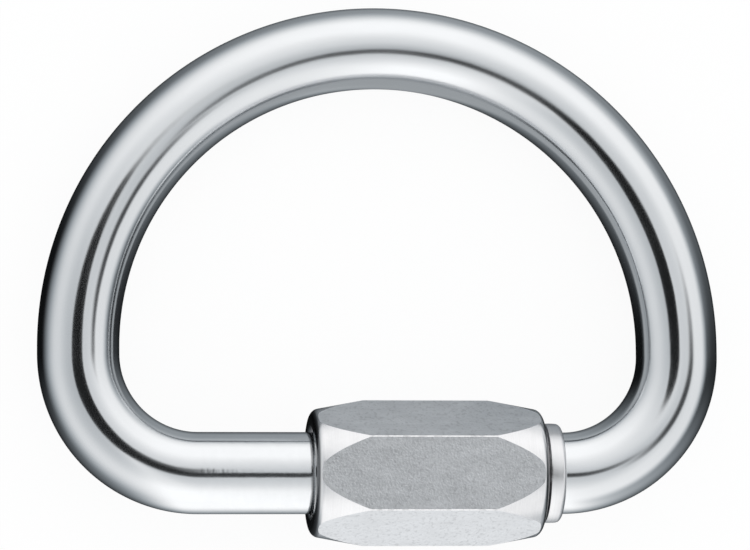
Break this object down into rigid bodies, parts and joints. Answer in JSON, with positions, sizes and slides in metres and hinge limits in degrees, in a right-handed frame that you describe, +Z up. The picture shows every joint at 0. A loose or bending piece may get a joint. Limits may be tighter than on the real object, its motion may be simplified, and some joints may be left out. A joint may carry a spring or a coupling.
{
  "type": "chain quick link",
  "caption": "D-shaped connecting link of polished round bar, closed by a long hexagon sleeve nut that screws across the gap in its straight side and seats against a collar.",
  "frame": {"origin": "centre of the bounding box on the floor that the link lies on", "axes": "+X along the nut, towards the stop collar; +Y from the nut's side to the crown; +Z up from the floor"},
  "size_m": [0.084, 0.0662, 0.0155],
  "materials": {
    "bar_polished": "bright polished steel bar with faint drawing lines",
    "nut_satin": "satin, finely grained flats with bright turned ends"
  },
  "bodies": {
    "link_body": {"link_body": "bar_polished"},
    "sleeve_nut": {"sleeve_nut": "nut_satin"}
  },
  "joints": [
    {"name": "nut_travel", "type": "slide", "parent": "link_body", "child": "sleeve_nut", "axis": [1, 0, 0], "range_m": [-0.0165, 0.00035]}
  ]
}
